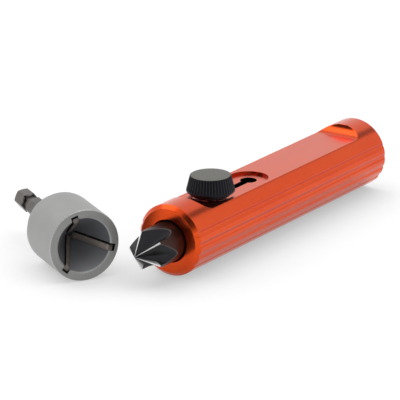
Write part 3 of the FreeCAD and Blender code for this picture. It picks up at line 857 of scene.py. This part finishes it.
# ---------------------------------------------------------------- the CAD pieces that stay
FINISHES = {
    "end_plug": worked_metal("black_anodised", (0.018, 0.018, 0.02), (0.04, 0.04, 0.043),
                             rough=(0.32, 0.42), grain=(1, 0.2, 0.2), scale=3000),
    "plug_o_ring": worked_metal("seal_rubber", (0.010, 0.010, 0.010), (0.022, 0.022, 0.022),
                                rough=(0.6, 0.75), metallic=0.0),
    "slide_carrier": worked_metal("carrier_steel", (0.045, 0.040, 0.040), (0.09, 0.08, 0.08),
                                  rough=(0.34, 0.46), grain=(1, 0.05, 0.05), scale=5000),
    "bit_socket": worked_metal("socket_steel", (0.05, 0.05, 0.052), (0.10, 0.10, 0.104),
                               rough=(0.34, 0.46)),
    "socket_set_screw": worked_metal("screw_steel", (0.02, 0.02, 0.022), (0.045, 0.045, 0.05),
                                     rough=(0.35, 0.5)),
    "thread_bush": worked_metal("bush_brass", (0.55, 0.38, 0.14), (0.72, 0.52, 0.22),
                                rough=(0.25, 0.38)),
    "socket_magnet": worked_metal("magnet_nickel", (0.50, 0.50, 0.48), (0.66, 0.66, 0.64),
                                  rough=(0.15, 0.25)),
    "bit_retaining_ring": worked_metal("spring_steel", (0.34, 0.34, 0.35), (0.48, 0.48, 0.49),
                                       rough=(0.22, 0.34)),
    # The locating collar under the knob is coloured near black.
    "locating_collar": worked_metal("collar_near_black", (0.016, 0.015, 0.017), (0.034, 0.032, 0.035),
                                    rough=(0.35, 0.5), grain=(0.2, 0.2, 1), scale=3000),
    "knob_stud": worked_metal("stud_steel", (0.30, 0.30, 0.31), (0.46, 0.46, 0.47),
                              rough=(0.25, 0.38)),
}
FINISHES["spring_washer"] = FINISHES["bit_retaining_ring"]
FINISHES["collar_clip"] = FINISHES["bit_retaining_ring"]
for node, finish in FINISHES.items():
    materials = frame["nodes"][node].data.materials
    materials.clear()
    materials.append(finish)


# ---------------------------------------------------------------- floor, lights and camera
TENT = 0.96                         # the brightness all round
PANELS = [  # direction, half-width and edge softness in degrees, brightness
    ((-0.15, 0.50, 0.85), 20, 5, 2.3),
    ((0.15, -0.25, 0.97), 20, 6, 1.5),
    ((-0.72, 0.54, 0.43), 20, 7, 0.05),
    ((-0.61, -0.44, 0.66), 22, 7, 0.06),
    ((0.78, -0.18, 0.60), 6, 3, 0.15),
]
CAMERA_ANGLES = (-55.091, 18.535, -0.631)       # azimuth, elevation and roll, degrees
CAMERA_TARGET = (13.38, -4.05, 11.76)           # mm, from the handle's front on its axis
CAMERA_DISTANCE = 1142.11
CAMERA_LENS = 300.74
FLOOR_HALF = 4.0                    # m
FLOOR_FLAT = 2.5                    # m, where it starts to rise


def floor_material():
    n = Nodes("studio_floor")
    soft = n.noise(n.coords(), 6, 2)
    return n.surface(Base_Color=n.mix(soft, (0.58, 0.58, 0.58), (0.62, 0.62, 0.62)), Roughness=0.9,
                     Specular_IOR_Level=0.1, Emission_Color=(1.0, 1.0, 1.0), Emission_Strength=0.44)


def floor():
    """A sheet that is flat under the tool and rises gently far behind it."""
    count = 41
    line = np.linspace(-FLOOR_HALF, FLOOR_HALF, count)
    vertices = [(x, y, FLOOR_Z + 0.02 * max(0, math.hypot(x, y) - FLOOR_FLAT) ** 2)
                for y in line for x in line]
    faces = [(j * count + i, j * count + i + 1, (j + 1) * count + i + 1, (j + 1) * count + i)
             for j in range(count - 1) for i in range(count - 1)]
    mesh = bpy.data.meshes.new("floor")
    mesh.from_pydata(vertices, [], faces)
    mesh.polygons.foreach_set("use_smooth", np.ones(len(mesh.polygons), bool))
    obj = bpy.data.objects.new("floor", mesh)
    bpy.context.scene.collection.objects.link(obj)
    mesh.materials.append(floor_material())


def world_light():
    """A white tent with brighter panels overhead and dark gaps, all soft-edged, by direction."""
    world = bpy.data.worlds.new("studio")
    bpy.context.scene.world = world
    world.use_nodes = True
    tree = world.node_tree
    direction = tree.nodes.new("ShaderNodeTexCoord").outputs["Generated"]
    value = None
    for centre, spread, blur, level in PANELS:
        dot = tree.nodes.new("ShaderNodeVectorMath")
        dot.operation = "DOT_PRODUCT"
        tree.links.new(direction, dot.inputs[0])
        dot.inputs[1].default_value = Vector(centre).normalized()
        edge = tree.nodes.new("ShaderNodeMapRange")
        edge.interpolation_type = "SMOOTHSTEP"
        tree.links.new(dot.outputs["Value"], edge.inputs["Value"])
        edge.inputs["From Min"].default_value = math.cos(math.radians(spread + blur))
        edge.inputs["From Max"].default_value = math.cos(math.radians(max(spread - blur, 0)))
        mix = tree.nodes.new("ShaderNodeMix")
        mix.data_type = "FLOAT"
        tree.links.new(edge.outputs["Result"], mix.inputs["Factor"])
        if value is None:
            mix.inputs["A"].default_value = TENT
        else:
            tree.links.new(value, mix.inputs["A"])
        mix.inputs["B"].default_value = level
        value = mix.outputs["Result"]
    tree.links.new(value, tree.nodes["Background"].inputs["Strength"])
    tree.nodes["Background"].inputs["Color"].default_value = (1, 1, 1, 1)


def camera():
    azimuth, elevation, roll = (math.radians(v) for v in CAMERA_ANGLES)
    ahead, aside, above = (v * MM for v in CAMERA_TARGET)
    target = Vector((HANDLE_LOW.x + ahead, aside, above))
    back = Vector((math.sin(azimuth) * math.cos(elevation), -math.cos(azimuth) * math.cos(elevation),
                   math.sin(elevation)))
    right = (-back).cross(Vector((0, 0, 1))).normalized()
    up = right.cross(-back)
    across = right * math.cos(roll) + up * math.sin(roll)
    upright = up * math.cos(roll) - right * math.sin(roll)
    place = target + back * CAMERA_DISTANCE * MM
    data = bpy.data.cameras.new("camera")
    data.sensor_width, data.lens = 36, CAMERA_LENS
    data.clip_start, data.clip_end = 0.01, 50
    obj = bpy.data.objects.new("camera", data)
    obj.matrix_world = Matrix((
        (across.x, upright.x, back.x, place.x),
        (across.y, upright.y, back.y, place.y),
        (across.z, upright.z, back.z, place.z),
        (0, 0, 0, 1)))
    bpy.context.scene.collection.objects.link(obj)
    bpy.context.scene.camera = obj


floor()
world_light()
camera()
bpy.context.scene.cycles.caustics_reflective = False

view = bpy.context.scene.view_settings
view.view_transform = "Standard"
view.look = "None"
view.exposure = 0.0
